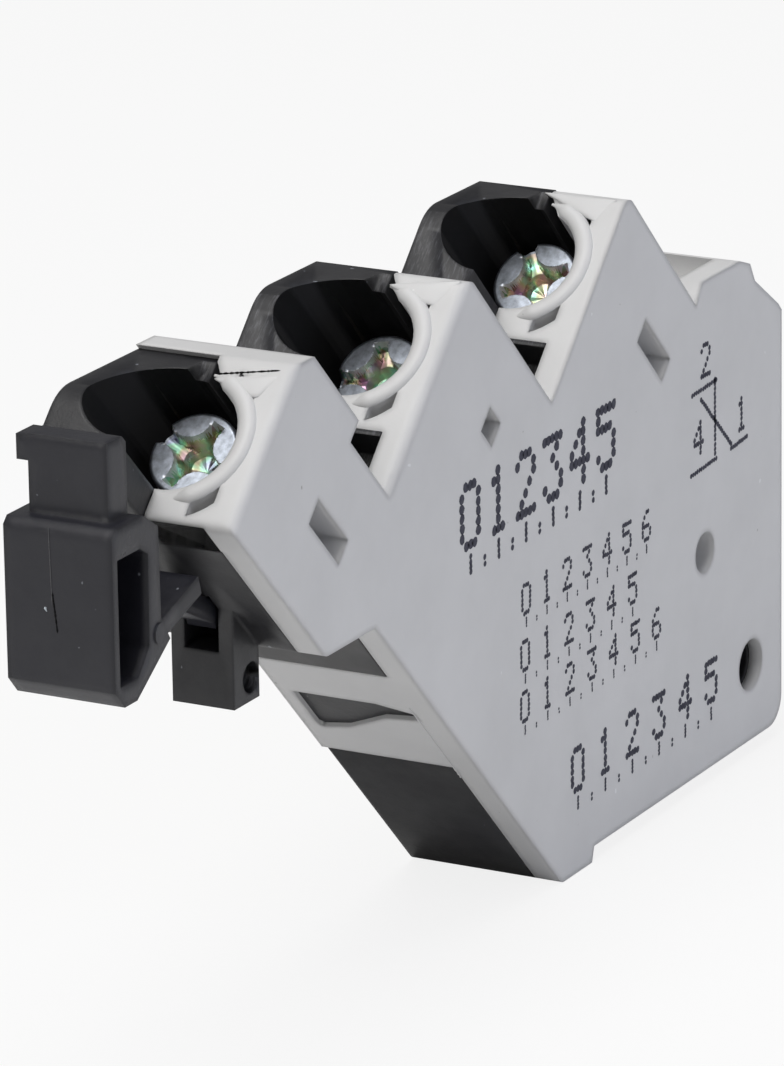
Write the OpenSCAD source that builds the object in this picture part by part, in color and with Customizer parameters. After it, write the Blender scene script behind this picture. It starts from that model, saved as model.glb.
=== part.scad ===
// Alarm contact: thin snap-in module with a staircase of three slanted screw wells.
// Millimetres. X runs along the module, Y through its thickness, Z up.
// The printed face is Y = 0. The origin is the axis of the locating bore on that face.
// Two slanted directions are used throughout: s runs up to the right, c runs up to the left.

/* [Body] */
// Thickness of the whole module, printed face to back
body_t = 10; // [9:0.1:12]
// Distance of the sloping end wall behind the first well's lip, along s
end_set = 4.07; // [3.9:0.01:4.2]
// Height of the top of the wells above the bottom edge
top_h = 38.5; // [37.5:0.1:39]
// Height of the right end before its chamfer
right_h = 26.7; // [25:0.1:27]
// Height of the snap bar above the bottom edge
bar_h = 31.1; // [30.6:0.1:31.6]
// Distance of the lower edge beneath the first well from the top of the wells
shelf_drop = 17; // [16.7:0.1:17.3]
// How far the bottom foot stands below the bottom edge
base_drop = 0.95; // [0.5:0.05:1.2]
// Outer wall thickness of the rear shell
wall = 1.2; // [1:0.05:1.4]
// Back wall thickness of the rear shell
back_wall = 1.2; // [1:0.05:1.5]
// Thickness of the printed plate
plate_t = 0.9; // [0.8:0.05:1.1]
// Depth of the skirt around the printed plate
skirt_y = 1.7; // [1.5:0.05:1.9]
// Thickness of the skirt around the printed plate
skirt_t = 0.9; // [0.7:0.05:1.1]
// Gap between the cover and the shell
seam = 0.05; // [0.03:0.01:0.1]
// Radius on the outer corners of the plate
corner_r = 0.85; // [0.5:0.05:1.2]
// Radius on the lower right corner
base_r = 1.8; // [1:0.1:2.5]

/* [Screw wells] */
// Distance between neighbouring terminals along the module
pitch = 20.1; // [19.9:0.1:20.3]
// Distance of the last well's upper right corner from the right end
crest_x = 20.7; // [20.4:0.1:21]
// Distance from the right end at which the last mouth's plane reaches the top
mouth_x = 21.4; // [21.1:0.1:21.7]
// Radius of a screw well
well_r = 3.4; // [3.3:0.05:3.5]
// Depth of a screw well down to the terminal strip
well_depth = 6.4; // [6.2:0.1:6.6]
// Distance of a well's axis from its back edge
well_inset = 5.1; // [5:0.05:5.2]
// Distance of the well axes from the printed face
well_y = 5.3; // [5.2:0.05:5.4]
// Outer radius of the cover's half ring round a well
ring_r = 4.5; // [4.3:0.05:4.55]
// Distance of the lip's underside from the well's axis
lip_x = 5.3; // [5.1:0.05:5.4]
// Reach of the lip from the printed face
lip_y = 5.5; // [5.3:0.05:5.8]
// Length of the lip along the well
lip_len = 2.6; // [2.2:0.1:3]
// Reach of the upper tip of the first and second half ring from the printed face
tip_y = 4.7; // [4.2:0.1:4.9]
// Reach of the upper tip of the third half ring from the printed face
last_tip_y = 4.9; // [4.5:0.1:5.2]
// Length over which a tip tapers to its point
tip_taper = 1.4; // [1:0.1:1.6]
// Width of a tip at its point
tip_point = 0.4; // [0.3:0.05:0.6]
// Depth of the crescent groove between half ring and plate
groove_len = 2.2; // [1.5:0.1:3]
// Width of the crescent groove at its lower end
groove_w = 0.8; // [0.5:0.05:0.9]
// How far the second and third rear ring stand out past the mouth
tower_out = 4.3; // [3:0.1:4.6]
// How far the first rear ring stands out past the mouth
first_tower_out = 5.6; // [4.4:0.1:5.8]
// Radius on the outer corner of a rear ring
tower_r = 3; // [2:0.1:5]
// Radius on the printed face's edge along the mouths
mouth_r = 0.6; // [0.4:0.05:0.7]
// Depth of the solid block round each well
block_len = 12.3; // [12.1:0.1:12.6]

/* [Terminals] */
// Radius of the screw thread
screw_r = 1.5; // [1.45:0.01:1.52]
// Radius of the screw head
head_r = 2.62; // [2.4:0.02:2.8]
// Height of the screw head
head_h = 1.6; // [1.4:0.1:1.8]
// Length of the screw below its head
shank_len = 6.2; // [6:0.1:6.4]
// Depth of the screw recess
recess_h = 1; // [0.8:0.1:1.2]
// Width of the screw slot
slot_w = 0.8; // [0.6:0.05:1]
// Depth of the first screw's head below the mouth
head_1 = 2.1; // [1.6:0.1:2.4]
// Depth of the second screw's head below the mouth
head_2 = 3.5; // [3:0.1:3.6]
// Depth of the third screw's head below the mouth
head_3 = 2.5; // [2:0.1:2.8]
// Side of the square clamp plate
clamp_w = 4.6; // [4.2:0.1:4.7]
// Thickness of the clamp plate
clamp_t = 0.8; // [0.6:0.1:0.9]
// Side of the square nut
nut_w = 5.5; // [5.3:0.1:5.5]
// Thickness of the square nut
nut_t = 2.3; // [2:0.1:2.4]
// Thickness of the terminal strips
strip_t = 0.4; // [0.3:0.05:0.5]
// Width of the terminal tabs
tab_w = 5; // [4.6:0.1:5.2]
// Distance of the strips' near edge from the printed face
strip_y = 2.2; // [2.1:0.1:2.4]
// Width of the strips
strip_w = 2.8; // [2.4:0.1:2.9]

/* [Changeover contact] */
// Width of the moving arm
arm_w = 3.8; // [3.4:0.1:3.9]
// Thickness of the moving arm
arm_t = 0.3; // [0.2:0.05:0.4]
// Height of the moving arm's pivot above the bottom edge
arm_z = 4.28; // [4.1:0.02:4.4]
// How far the moving arm runs on past its contacts
arm_over = 3.9; // [3.6:0.1:4]
// Radius of the arm's pivot pin
arm_pin_r = 0.5; // [0.4:0.05:0.6]
// Contact rivet head radius
rivet_r = 0.9; // [0.7:0.05:1]
// Contact rivet head height
rivet_h = 0.6; // [0.4:0.05:0.7]
// Open gap between the moving and the make contact
contact_gap = 1.1; // [1:0.05:1.3]

/* [Lever] */
// Radius of the lever's pivot pin
lever_pin_r = 0.6; // [0.5:0.05:0.7]
// Radius of the lever's hub
hub_r = 1.5; // [1.3:0.05:1.6]
// Width of the lever's inner arm
lever_arm_w = 1.8; // [1.6:0.1:1.9]
// Distance of the lever's inner arm from the printed face
lever_arm_y = 5.2; // [5.15:0.05:5.3]
// Thickness of the lever's inner arm
lever_arm_t = 1.2; // [1:0.05:1.3]
// Width of the lever's lower face
hook_w = 6.6; // [6:0.1:7]
// Width of the lever's upper face
horn_w = 4.8; // [4.4:0.1:5.2]
// Height of the lever's lower face
hook_h = 9.9; // [9.5:0.1:10.2]
// Height of the lever's upper face
horn_h = 4.3; // [4:0.1:4.6]
// How far the lever's front face stands out past the first well's lip
hook_out = 10; // [9:0.1:10.5]
// Width of the slanting strut behind the lever's lower face
strut_w = 1.1; // [0.9:0.1:1.2]
// Height of the foot beneath the first well
foot_h = 2.75; // [2.5:0.05:3]
// Running gap of pins in their holes
run_gap = 0.05; // [0.02:0.01:0.08]

/* [Openings] */
// Radius of the locating bore
bore_r = 1.65; // [1.6:0.05:1.75]
// Distance of the locating bore from the right end
bore_from_right = 4.45; // [4.2:0.05:4.8]
// Height of the locating bore above the bottom edge
bore_h = 4.9; // [4.6:0.1:5.2]
// Radius of the blind hole in the printed face
blind_r = 1.3; // [1.1:0.05:1.5]
// Depth of the blind hole
blind_depth = 2.2; // [1.6:0.1:2.4]
// Length of the long slanted windows
window_len = 4.6; // [4.2:0.1:4.8]
// Length of the short slanted window
short_window_len = 1.8; // [1.5:0.1:2.2]
// Width of the slanted windows
window_w = 1.6; // [1.3:0.05:1.8]

/* [Hidden] */
$fn = 48;
over = 0.5;
tiny = 0.02;
root2 = sqrt(2);
step = pitch / root2;
front_y = skirt_y + seam;
inner_y = body_t - back_wall;
edge_s = (top_h - crest_x) / root2;
mouth_c = (top_h + mouth_x) / root2;
shelf_h = top_h - shelf_drop;

// Points in the X, Z plane: from s and c, from s and a height, from c and a height
function sc(s, c) = [(s - c) / root2, (s + c) / root2];
function sz(s, z) = [s * root2 - z, z];
function cz(c, z) = [z - c * root2, z];

// Slanted planes of the outline
lip_s = edge_s - 2 * step - well_inset - lip_x;
low_s = lip_s + end_set;
step_x = low_s * root2 + 5.25;
shoulder_t = 1.41;
shoulder_c = 62.4;
bar_x = [-11.2, -6.2, -3.8, -0.5];

// Places of the three wells, counted from the lever
function well_edge(i) = edge_s - (3 - i) * step;
function well_mouth(i) = mouth_c + (3 - i) * step;
function well_s(i) = well_edge(i) - well_inset;
function head_drop(i) = i == 1 ? head_1 : i == 2 ? head_2 : head_3;
function well_tip(i) = i == 3 ? last_tip_y : tip_y;
function well_out(i) = i == 1 ? first_tower_out : tower_out;
function well_floor(i) = well_mouth(i) - block_len;
window_x = 0.1;
function window_c(i) = i == 2 ? -8.4 : -9.6;
function window_l(i) = i == 2 ? short_window_len : window_len;

// Terminal strips
tab_z = -well_depth - strip_t / 2;
drop_x = -nut_w / 2 - 1.15;
nut_z = -well_depth - strip_t - tiny;
nut_gap = 0.05;
nut_cut = nut_w / 2 + nut_gap;
tail_r = screw_r + 0.3;

// Contact arm and fixed contacts, along s
cavity_s = low_s + wall + 0.87;
arm_s = cavity_s + 2.15;
arm_c = arm_z * root2 - arm_s;
rivet_c = well_floor(2) - 4.27;
rivet_y = strip_y + strip_w - rivet_r - 0.2;
arm_y = 3.4;
eye_r = arm_pin_r + 0.4;
touch = 0.04;
break_s = cavity_s + 0.1;
make_s = arm_s + arm_t / 2 + rivet_h + contact_gap + rivet_h;
eye_w = 1;

// Lever
hub = sc(arm_s - 0.95, well_floor(1) - 3.54);
nose_c = rivet_c + 3.2;
pin_end = body_t - 0.5;
pin_start = plate_t + 0.1;
post_y = strip_y - 0.1;
post_r = 1.3;
slot_y = lever_arm_y - 0.2;
slot_t = lever_arm_w + 0.4;
hook_x = sc(lip_s, well_mouth(1))[0] - hook_out;
hook_z = shelf_h + 2.7;
hook_top = hook_z + hook_h;
horn_top = hook_top + horn_h;
hook_y = 1.5;
horn_y = 2.5;
strut_foot = [hook_x + 4.9, hook_z + 3];
strut_end = [hook_x + 8.7, hook_z + 4.2];

// Snap straps
frame_t = 1.2;
shelf_c = shelf_h * root2 - low_s;
frame_c = [shelf_c - 17.4, shelf_c - 6.3];
frame_hole = [shelf_c - 14.5, shelf_c - 10.2];
frame_end = body_t + 0.4;
bar_t = 1.2;
foot_x = [sz(lip_s, shelf_h)[0] - 3, sz(lip_s, shelf_h)[0] - 0.2];
foot_y = [4.1, 8];
foot_z = shelf_h - foot_h;
foot_top = shelf_h + 3.7;
scoop_r = 0.9;

// Moves a shape from the lower right corner to the locating bore
module place() {
  translate([bore_from_right, 0, -bore_h]) children();
}

// Turns a flat X, Z shape into a slab between two depths
module slab(y0, y1) {
  translate([0, y1, 0]) rotate([90, 0, 0]) linear_extrude(height = y1 - y0) children();
}

// Moves to a well's axis at its mouth, with Z out of the well and X along s
module at_well(i) {
  p = sc(well_s(i), well_mouth(i));
  translate([p[0], well_y, p[1]]) rotate([0, -45, 0]) children();
}

// A box between two corners
module box(a, b) {
  translate(a) cube(b - a);
}

// A flat band through a list of points
module band(points, t) {
  for (k = [0 : len(points) - 2]) {
    d = points[k + 1] - points[k];
    translate(points[k]) rotate(atan2(d[1], d[0]))
      translate([-t / 2, -t / 2]) square([norm(d) + t, t]);
  }
}

// The sliver that rounds a corner p whose edges leave at angle dir and dir + turn
module corner(p, dir, turn, r) {
  t = r / tan(turn / 2);
  translate(p) rotate(dir) difference() {
    polygon([[-over, -over], [t, -over], [t, r],
             [t * cos(turn) - over * sin(turn), t * sin(turn) + over * cos(turn)]]);
    translate([t, r]) circle(r);
  }
}

// Outline of the printed plate
module plate_shape() {
  difference() {
    polygon([
      [0, 0], [step_x, 0], [step_x - 0.3, -base_drop],
      sz(low_s, -base_drop), sz(low_s, shelf_h), sz(lip_s, shelf_h),
      sc(lip_s, well_mouth(1)), cz(well_mouth(1), top_h + 0.3),
      sz(well_edge(1) + shoulder_t, top_h + 0.3),
      sc(well_edge(1) + shoulder_t, shoulder_c), sc(well_edge(1), shoulder_c),
      sc(well_edge(1), well_mouth(2)), sc(well_edge(2), well_mouth(2)),
      sc(well_edge(2), well_mouth(3)), sc(well_edge(3), well_mouth(3)),
      sz(well_edge(3), 29.8), [bar_x[0], bar_h], [bar_x[1] + 0.3, bar_h],
      [bar_x[2] - 0.7, bar_h - 0.5], [bar_x[2], bar_h - 1.75],
      [bar_x[3], right_h + 0.4], [0, right_h - 0.1]
    ]);
    corner([0, 0], 90, 90, base_r);
    corner(sz(low_s, -base_drop), 0, 135, corner_r);
    corner(sz(lip_s, shelf_h), 0, 135, corner_r);
    corner(sc(lip_s, well_mouth(1)), -45, 90, corner_r / 2);
    corner(sc(well_edge(2), well_mouth(2)), 225, 90, corner_r);
    corner(sc(well_edge(3), well_mouth(3)), 225, 90, corner_r);
  }
}

// Outline of the rear shell, a strap thickness lower where the cover's straps lie
module shell_shape() {
  difference() {
    polygon([
      [0, 0], [step_x, 0], [step_x - 0.3, -base_drop],
      sz(low_s, -base_drop), sz(low_s, shelf_h), sz(lip_s, shelf_h),
      sc(lip_s, well_mouth(1)), cz(well_mouth(1), top_h), sz(well_edge(1), top_h),
      sc(well_edge(1), well_mouth(2)), cz(well_mouth(2), top_h), sz(well_edge(2), top_h),
      sc(well_edge(2), well_mouth(3)), cz(well_mouth(3), top_h), sz(well_edge(3), top_h),
      sz(well_edge(3), bar_h - bar_t - 1.5 - seam), [bar_x[2], bar_h - bar_t - 1.5 - seam],
      [bar_x[3], right_h - 0.2], [0, right_h - 0.7]
    ]);
    corner([0, 0], 90, 90, base_r);
    corner(sz(low_s, -base_drop), 0, 135, corner_r);
    corner(sz(lip_s, shelf_h), 0, 135, corner_r);
    translate(sc(low_s, frame_c[0] - seam)) rotate(135)
      translate([0, -frame_t - seam]) square([frame_c[1] - frame_c[0] + 2 * seam, frame_t + over]);
  }
}

// Hollow of the rear shell, stepped round the blocks of the three wells
module cavity_shape() {
  polygon([
    [-wall, wall], sz(cavity_s, wall), sz(cavity_s, shelf_h + wall),
    sz(lip_s + wall, shelf_h + wall), sc(lip_s + wall, well_floor(1)),
    sc(well_edge(1) - wall, well_floor(1)), sc(well_edge(1) - wall, well_floor(2)),
    sc(well_edge(2) - wall, well_floor(2)), sc(well_edge(2) - wall, well_floor(3)),
    sc(well_edge(3) - wall, well_floor(3)), [-10, right_h - 1.5], [-wall, right_h - 1.5 - wall]
  ]);
}

// The half ring, tip and lip of the cover at one well; grow is the gap left in the shell
module well_lining(i, grow) {
  x1 = well_inset + (grow > 0 ? over : 0);
  z1 = grow > 0 ? over : 0;
  tip = well_tip(i) - well_y + grow;
  box([0, plate_t - well_y, -well_depth - grow], [x1, tip - (grow > 0 ? 0 : tip_taper), z1]);
  translate([0, 0, -well_depth - grow]) linear_extrude(height = well_depth + grow + z1)
    polygon([[x1, tip], [x1 - tip_point, tip], [well_r - 1, tip - tip_taper - tiny], [x1, tip - tip_taper - tiny]]);
  box([-lip_x, plate_t - well_y, -lip_len - grow], [0, lip_y - well_y + grow, z1]);
  intersection() {
    translate([0, 0, -well_depth - grow]) cylinder(r = ring_r + grow, h = well_depth + grow + z1);
    box([-ring_r - 1, plate_t - well_y, -well_depth - 1], [tiny, grow, 1]);
  }
}

// The crescent groove between half ring and plate
module crescent() {
  difference() {
    intersection() {
      box([-ring_r - groove_w, plate_t - well_y, -groove_len], [ring_r, -2.2, over]);
      union() {
        translate([-groove_w / 2, 0, -groove_len]) cylinder(r = ring_r + groove_w / 2, h = groove_len + over);
        translate([groove_w / 4, 0, -groove_len]) cylinder(r = ring_r + groove_w / 8, h = groove_len + over);
      }
    }
    translate([0, 0, -groove_len - over]) cylinder(r = ring_r, h = groove_len + 2 * over);
  }
}

// What rounds the edge between the printed face and a mouth
module mouth_round(i) {
  x0 = i == 1 ? -lip_x - over : well_inset - step;
  length = well_inset + over - x0;
  at_well(i) translate([x0, mouth_r - well_y, -mouth_r]) rotate([0, 90, 0]) difference() {
    translate([-mouth_r - over, -mouth_r - over, 0]) cube([mouth_r + over, mouth_r + over, length]);
    translate([0, 0, -over]) cylinder(r = mouth_r, h = length + 2 * over);
  }
}

// The pad of the cover that closes a slanted window
module window_pad(grow) {
  box([-1.6 - grow, plate_t - well_y, -block_len - 0.2], [1.6 + grow, strip_y + 0.1 - well_y + grow, nut_z]);
}

module window_cut(i) {
  box([window_x - window_w / 2, -well_y - over, window_c(i) - window_l(i) / 2],
      [window_x + window_w / 2, strip_y - 0.2 - well_y, window_c(i) + window_l(i) / 2]);
}

// Cover: printed plate, skirt, three half rings, straps and posts
module front_cover() {
  color([0.70, 0.70, 0.71]) place() difference() {
    intersection() {
      slab(0, frame_end) plate_shape();
      union() {
        slab(0, plate_t) plate_shape();
        difference() {
          slab(0, skirt_y) plate_shape();
          slab(plate_t, body_t) offset(delta = -skirt_t) polygon([
            [0, 0], sz(low_s, 0), sz(low_s, shelf_h), sz(lip_s, shelf_h),
            sc(lip_s, well_mouth(1)), cz(well_mouth(1), top_h), sz(well_edge(1), top_h),
            sc(well_edge(1), well_mouth(2)), sc(well_edge(2), well_mouth(2)),
            sc(well_edge(2), well_mouth(3)), sc(well_edge(3), well_mouth(3)),
            sz(well_edge(3), bar_h - bar_t - 1), [bar_x[2], bar_h - bar_t - 1], [0, right_h]
          ]);
        }
        for (i = [1 : 3]) {
          at_well(i) difference() {
            union() {
              well_lining(i, 0);
              window_pad(0);
            }
            crescent();
          }
        }
        slab(0, body_t) polygon([
          sc(well_edge(1), shoulder_c), sc(well_edge(1) + shoulder_t, shoulder_c),
          sz(well_edge(1) + shoulder_t, top_h + 1), sz(well_edge(1), top_h + 1)
        ]);
        slab(plate_t, body_t) polygon([
          sz(well_edge(3), bar_h - 1.5), [bar_x[1], bar_h - 1.5], [bar_x[1], bar_h],
          [bar_x[2], bar_h], [bar_x[2], bar_h - bar_t - 1.5], sz(well_edge(3), bar_h - bar_t - 1.5)
        ]);
        snap_frame();
        translate([hub[0], 0, hub[1]]) post(post_y);
        translate([sc(arm_s, arm_c)[0], 0, sc(arm_s, arm_c)[1]]) post(post_y);
        translate([-10.9, 0, 14]) rotate([-90, 0, 0]) cylinder(r = blind_r + 0.8, h = blind_depth + 0.8);
      }
    }
    for (i = [1 : 3]) {
      at_well(i) {
        translate([0, 0, -well_depth]) cylinder(r = well_r, h = well_depth + 2 * over);
        window_cut(i);
      }
      mouth_round(i);
    }
    translate([-10.9, -over, 14]) rotate([-90, 0, 0]) cylinder(r = blind_r, h = blind_depth + over);
    translate([-bore_from_right, -over, bore_h]) rotate([-90, 0, 0]) cylinder(r = bore_r, h = body_t);
    translate([hub[0], pin_start, hub[1]]) rotate([-90, 0, 0]) cylinder(r = lever_pin_r, h = body_t);
    translate([sc(arm_s, arm_c)[0], pin_start, sc(arm_s, arm_c)[1]]) rotate([-90, 0, 0])
      cylinder(r = arm_pin_r, h = body_t);
  }
}

// Short post that carries a pin
module post(y1) {
  rotate([-90, 0, 0]) cylinder(r = post_r, h = y1);
}

// Snap frame on the sloping end wall, with its hole
module snap_frame() {
  difference() {
    slab(skirt_y - over, frame_end) polygon([
      sc(low_s, frame_c[0]), sc(low_s, frame_c[1]),
      sc(low_s + frame_t, frame_c[1]), sc(low_s + frame_t, frame_c[0])
    ]);
    p = sc(low_s, 0);
    translate([p[0], 0, p[1]]) rotate([0, -45, 0])
      rotate([90, 0, 90]) translate([0, 0, -over]) linear_extrude(height = frame_t + 2 * over)
        polygon([
          [skirt_y, frame_hole[0] + 2.9], [4.1, frame_hole[0] + 2.5], [7.2, frame_hole[0] + 0.5],
          [9.1, frame_hole[0]], [9.4, frame_hole[0] + 0.3], [9.4, frame_hole[1]],
          [4, frame_hole[1]], [skirt_y, frame_hole[1] - 0.7]
        ]);
  }
}

// Rear ring of a well in the X, Z plane, with its rounded corner
module tower_shape(i) {
  p = cz(well_mouth(i) + well_out(i), top_h);
  left_s = i == 1 ? lip_s : well_edge(i - 1);
  difference() {
    polygon([
      p, sz(well_edge(i), top_h), sc(well_edge(i), well_mouth(i) - block_len),
      sc(left_s, well_mouth(i) - block_len), sc(left_s, well_mouth(i) + well_out(i))
    ]);
    corner(p, 225, 135, tower_r);
  }
}

// Foot beneath the first well, cut away where the lever's arm passes through it
module shell_foot() {
  difference() {
    slab(foot_y[0], foot_y[1]) polygon([
      [foot_x[0], foot_z], [foot_x[1], foot_z], [foot_x[1], shelf_h + wall],
      sz(lip_s + wall / 2, foot_top - wall / 2), [foot_x[0], foot_top]
    ]);
    translate([foot_x[1] - scoop_r, foot_y[0] - over, foot_z + 1.35]) rotate([-90, 0, 0])
      cylinder(r = scoop_r, h = over + 0.8);
  }
}

// Shell: back and side walls, three rear rings, foot, locating tube and pockets
module rear_shell() {
  color([0.11, 0.11, 0.12]) place() difference() {
    union() {
      difference() {
        slab(front_y, body_t) shell_shape();
        slab(front_y - over, inner_y) cavity_shape();
      }
      for (i = [1 : 3]) {
        slab(lip_y + seam, body_t) tower_shape(i);
      }
      shell_foot();
      translate([-bore_from_right, plate_t + seam, bore_h]) rotate([-90, 0, 0])
        cylinder(r = bore_r + 1.1, h = body_t - plate_t - seam);
      snap_wedge();
    }
    for (i = [1 : 3]) {
      at_well(i) {
        well_lining(i, seam);
        window_pad(seam);
        translate([0, 0, -well_depth]) cylinder(r = well_r, h = well_depth + 2 * body_t);
        box([drop_x - 0.25, -well_y, nut_z - 0.03], [nut_cut, tab_w / 2 + 0.1, tiny - well_depth]);
        box([-nut_cut, -well_y, nut_z - nut_t - nut_gap], [nut_cut, nut_cut, nut_z]);
        box([drop_x - 0.25, -well_y, -block_len - over], [drop_x + 0.25, strip_y + strip_w - well_y + 0.1, nut_z]);
        translate([0, 0, -block_len - over]) cylinder(r = tail_r, h = block_len - well_depth);
      }
    }
    for (i = [2 : 3]) {
      at_well(i) box([well_inset - step + 0.2, front_y - over - well_y, -2.4], [-lip_x - 0.3, lip_y - well_y, over]);
    }
    lever_slot();
    translate([-bore_from_right, 0, bore_h]) rotate([-90, 0, 0]) cylinder(r = bore_r, h = body_t + over);
    translate([hub[0], inner_y - over, hub[1]]) rotate([-90, 0, 0])
      cylinder(r = lever_pin_r, h = pin_end - inner_y + over);
    translate([sc(arm_s, arm_c)[0], inner_y - over, sc(arm_s, arm_c)[1]]) rotate([-90, 0, 0])
      cylinder(r = arm_pin_r, h = pin_end - inner_y + over);
  }
}

// Wedge that snaps into the hole of the cover's snap frame
module snap_wedge() {
  slab(foot_y[0], frame_end - 1.5) polygon([
    sc(low_s + frame_t + 2 * seam, frame_hole[0] + 0.4), sc(low_s + frame_t + 2 * seam, frame_hole[1] - 0.3),
    sc(low_s + 0.3, frame_hole[1] - 0.3), sc(low_s + 0.9, frame_hole[0] + 2.4)
  ]);
}

// Way of the lever's arm over the foot and through the wall, with room for its swing
module lever_slot() {
  slab(slot_y, slot_y + slot_t) polygon([
    [foot_x[0] - over, shelf_h + 0.4], [foot_x[0] + 2, shelf_h + 0.7],
    [foot_x[0] + 3.7, shelf_h + wall + 0.1], [foot_x[0] + 6.1, shelf_h + wall + 0.8],
    sc(lip_s + 4.7, well_floor(1) - 0.5), sc(lip_s + 3.2, well_floor(1) + 1.1),
    sc(lip_s + 1.9, well_floor(1) + 2.3), sc(lip_s - 0.4, well_floor(1) + 4.1)
  ]);
}

// Lever: hook with a cored side, web, brace, arm through the foot, hub and inner tail
module actuator_lever() {
  color([0.13, 0.13, 0.14]) place() difference() {
    union() {
      difference() {
        slab(hook_y, hook_y + hook_w) polygon([
          [hook_x + 0.9, hook_z], [hook_x + 2.2, hook_z], [hook_x + 5.8, hook_z + 2.4],
          [hook_x + 4.9, hook_z + 3.8], [hook_x + 4.8, hook_top - 1], [hook_x + 3.3, hook_top],
          [hook_x + 0.4, hook_top], [hook_x, hook_top - 0.4], [hook_x, hook_z + 1]
        ]);
        slab(hook_y - over, hook_y + 2.8) polygon([
          [hook_x + 0.5, hook_z + 1.2], [hook_x + 2.4, hook_z + 1.2], [hook_x + 3.6, hook_z + 2.6],
          [hook_x + 3.7, hook_top - 2.2], [hook_x + 2.9, hook_top - 1.7], [hook_x + 0.5, hook_top - 1.7]
        ]);
      }
      slab(horn_y, horn_y + horn_w) polygon([
        [hook_x + 1.4, hook_top - 0.9], [hook_x + 3.4, hook_top - 0.9], [hook_x + 3.4, horn_top - 0.4],
        [hook_x + 3, horn_top], [hook_x + 1.4, horn_top]
      ]);
      slab(horn_y + horn_w - over, horn_y + horn_w + 0.7) polygon([
        [hook_x + 1.4, horn_top - 1.5], [hook_x + 3.2, horn_top - 1.5],
        [hook_x + 3.2, horn_top - 0.1], [hook_x + 1.4, horn_top - 0.1]
      ]);
      slab(hook_y + 0.1, lever_arm_y + lever_arm_w) band([strut_foot, strut_end], strut_w);
      slab(lever_arm_y, lever_arm_y + lever_arm_w) band([
        strut_foot, strut_end, sc(lip_s, well_floor(1) + 1.8), sc(lip_s + 2.2, well_floor(1) + 0.8), hub
      ], lever_arm_t);
      slab(lever_arm_y, lever_arm_y + lever_arm_w)
        band([hub, sc(arm_s - 0.95, nose_c)], lever_arm_t - 0.2);
      translate([hub[0], lever_arm_y, hub[1]]) rotate([-90, 0, 0]) cylinder(r = hub_r, h = lever_arm_w);
      translate([hook_x + 4.7, hook_y - 0.1, hook_z + 3]) rotate([-90, 0, 0]) cylinder(r = 0.6, h = 1);
    }
    translate([hub[0], 0, hub[1]]) rotate([-90, 0, 0]) cylinder(r = lever_pin_r + run_gap, h = body_t);
  }
}

module pin(p, r) {
  translate([p[0], pin_start, p[1]]) rotate([-90, 0, 0]) cylinder(r = r, h = pin_end - pin_start);
}

module lever_pin() {
  color([0.75, 0.76, 0.78]) place() pin(hub, lever_pin_r);
}

module arm_pin() {
  color([0.75, 0.76, 0.78]) place() pin(sc(arm_s, arm_c), arm_pin_r);
}

// Torsion spring behind the lever's hub: four wound rings and two legs
module lever_spring() {
  coil_r = 1.15;
  wire_r = 0.16;
  coils = 4;
  y0 = lever_arm_y + lever_arm_w + 0.35;
  drop = hub[1] - shelf_h - wall - 2 * wire_r;
  color([0.78, 0.79, 0.81]) place() translate([hub[0], y0, hub[1]]) {
    for (k = [0 : coils - 1]) {
      translate([0, k * 1.9 * wire_r, 0]) rotate([-90, 0, 0]) rotate_extrude($fn = 32)
        translate([coil_r, 0]) circle(wire_r, $fn = 12);
    }
    rotate([0, -70, 0]) translate([0, 0, coil_r]) rotate([0, -90, 0])
      cylinder(r = wire_r, h = (drop + coil_r * cos(70)) / sin(70), $fn = 12);
    translate([0, (coils - 1) * 1.9 * wire_r, 0]) rotate([0, 135, 0]) translate([0, 0, coil_r])
      rotate([0, 90, 0]) cylinder(r = wire_r, h = drop / cos(45) - coil_r, $fn = 12);
  }
}

// Screw with a slot and a cross in its head, at rest at its depth in the photo
module terminal_screw(i) {
  z0 = -head_drop(i) - head_h;
  color([0.72, 0.74, 0.77]) place() at_well(i) rotate([0, 0, 20 + 25 * i]) difference() {
    union() {
      translate([0, 0, z0]) cylinder(r = head_r, h = head_h);
      translate([0, 0, z0 - shank_len]) cylinder(r = screw_r, h = shank_len);
    }
    box([-head_r - 1, -slot_w / 2, z0 + head_h - recess_h], [head_r + 1, slot_w / 2, z0 + head_h + over]);
    box([-slot_w / 2, -head_r * 0.65, z0 + head_h - recess_h], [slot_w / 2, head_r * 0.65, z0 + head_h + over]);
  }
}

module clamp_plate(i) {
  z1 = -head_drop(i) - head_h - tiny;
  color([0.70, 0.71, 0.70]) place() at_well(i) difference() {
    box([-clamp_w / 2, -clamp_w / 2, z1 - clamp_t], [clamp_w / 2, clamp_w / 2, z1]);
    translate([0, 0, z1 - clamp_t - over]) cylinder(r = screw_r + 0.09, h = clamp_t + 2 * over);
  }
}

module terminal_nut(i) {
  color([0.66, 0.66, 0.64]) place() at_well(i) difference() {
    box([-nut_w / 2, -nut_w / 2, nut_z - nut_t], [nut_w / 2, nut_w / 2, nut_z]);
    translate([0, 0, nut_z - nut_t - over]) cylinder(r = screw_r + run_gap, h = nut_t + 2 * over);
  }
}

// Strip tab beneath a screw
module tab(i) {
  at_well(i) difference() {
    box([drop_x, -tab_w / 2, tab_z - strip_t / 2], [nut_w / 2 - 0.2, tab_w / 2, tab_z + strip_t / 2]);
    translate([0, 0, tab_z - strip_t]) cylinder(r = screw_r + 0.09, h = 2 * strip_t);
  }
}

// Where a strip's leg leaves its tab
function tab_leg(i) = sc(well_s(i) + drop_x, well_mouth(i) + tab_z - 0.05);

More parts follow.
